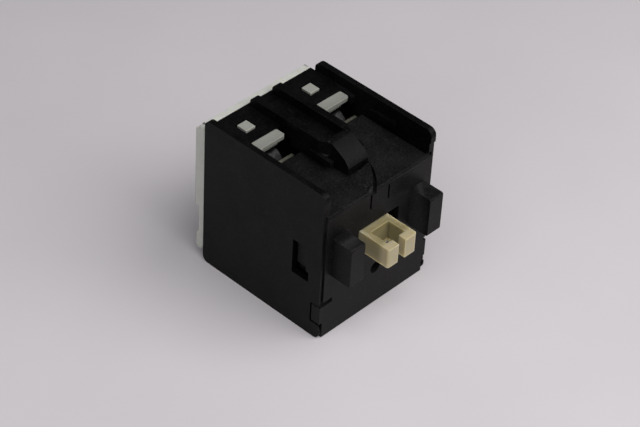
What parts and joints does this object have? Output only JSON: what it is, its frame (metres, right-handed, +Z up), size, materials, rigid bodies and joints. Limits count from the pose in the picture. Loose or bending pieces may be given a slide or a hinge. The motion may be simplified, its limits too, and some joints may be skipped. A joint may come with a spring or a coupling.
{
  "type": "slide switch",
  "caption": "Double-pole slide switch module with black casing, two guide bosses, a spring-returned yellow actuator and push-in wire terminals.",
  "frame": {"origin": "bottom centre of the bounding box of the whole switch, at rest", "axes": "+Z up, -Y towards the actuator and the front wall, +Y towards the rear cover, +X to the right seen from the front, the way the actuator slides"},
  "size_m": [0.0264, 0.037, 0.0309],
  "materials": {
    "housing": "fine-grained black moulded plastic, lightly rubbed at the edges",
    "front_body": "fine-grained black moulded plastic, slightly greyer than the housing",
    "rear_cover": "greenish white moulded plastic",
    "release_bar": "off-white moulded plastic",
    "actuator": "translucent pale yellow nylon, soft gloss",
    "copper": "plated copper alloy strip, satin",
    "contact_silver": "silver contact alloy, satin",
    "spring_steel": "dark oiled spring steel"
  },
  "bodies": {
    "housing": {"housing": "housing", "front_body": "front_body", "rear_cover": "rear_cover", "return_spring": "spring_steel", "fixed_contact_left_top": "contact_silver", "fixed_contact_left_bottom": "contact_silver", "fixed_contact_right_top": "contact_silver", "fixed_contact_right_bottom": "contact_silver", "terminal_left_top": "copper", "terminal_left_bottom": "copper", "terminal_right_top": "copper", "terminal_right_bottom": "copper", "clamp_spring_left_top": "spring_steel", "clamp_spring_left_bottom": "spring_steel", "clamp_spring_right_top": "spring_steel", "clamp_spring_right_bottom": "spring_steel"},
    "slider": {"slider": "actuator", "contact_spring_left": "spring_steel", "contact_spring_right": "spring_steel"},
    "bridge_left": {"contact_bridge_left": "copper", "moving_contact_left_top": "contact_silver", "moving_contact_left_bottom": "contact_silver"},
    "bridge_right": {"contact_bridge_right": "copper", "moving_contact_right_top": "contact_silver", "moving_contact_right_bottom": "contact_silver"},
    "release_bar_left_top": {"release_bar_left_top": "release_bar"},
    "release_bar_left_bottom": {"release_bar_left_bottom": "release_bar"},
    "release_bar_right_top": {"release_bar_right_top": "release_bar"},
    "release_bar_right_bottom": {"release_bar_right_bottom": "release_bar"}
  },
  "joints": [
    {"name": "slider_travel", "type": "slide", "parent": "housing", "child": "slider", "axis": [1, 0, 0], "range_m": [0, 0.0024], "stiffness_N_per_m": 150, "springref_m": -0.0016, "deforming": ["return_spring", "contact_spring_left", "contact_spring_right"]},
    {"name": "bridge_left_travel", "type": "slide", "parent": "housing", "child": "bridge_left", "axis": [1, 0, 0], "range_m": [0, 0.00192]},
    {"name": "bridge_right_travel", "type": "slide", "parent": "housing", "child": "bridge_right", "axis": [1, 0, 0], "range_m": [0, 0.00192]},
    {"name": "release_left_top_press", "type": "slide", "parent": "housing", "child": "release_bar_left_top", "axis": [0, 0, -1], "range_m": [0, 0.0009], "stiffness_N_per_m": 25, "springref_m": -0.0008, "deforming": ["clamp_spring_left_top"]},
    {"name": "release_left_bottom_press", "type": "slide", "parent": "housing", "child": "release_bar_left_bottom", "axis": [0, 0, 1], "range_m": [0, 0.0009], "stiffness_N_per_m": 25, "springref_m": -0.0008, "deforming": ["clamp_spring_left_bottom"]},
    {"name": "release_right_top_press", "type": "slide", "parent": "housing", "child": "release_bar_right_top", "axis": [0, 0, -1], "range_m": [0, 0.0009], "stiffness_N_per_m": 25, "springref_m": -0.0008, "deforming": ["clamp_spring_right_top"]},
    {"name": "release_right_bottom_press", "type": "slide", "parent": "housing", "child": "release_bar_right_bottom", "axis": [0, 0, 1], "range_m": [0, 0.0009], "stiffness_N_per_m": 25, "springref_m": -0.0008, "deforming": ["clamp_spring_right_bottom"]}
  ],
  "couplings": [
    {"joint": "bridge_left_travel", "follows": "slider_travel", "ratio": 0.8},
    {"joint": "bridge_right_travel", "follows": "slider_travel", "ratio": 0.8}
  ]
}
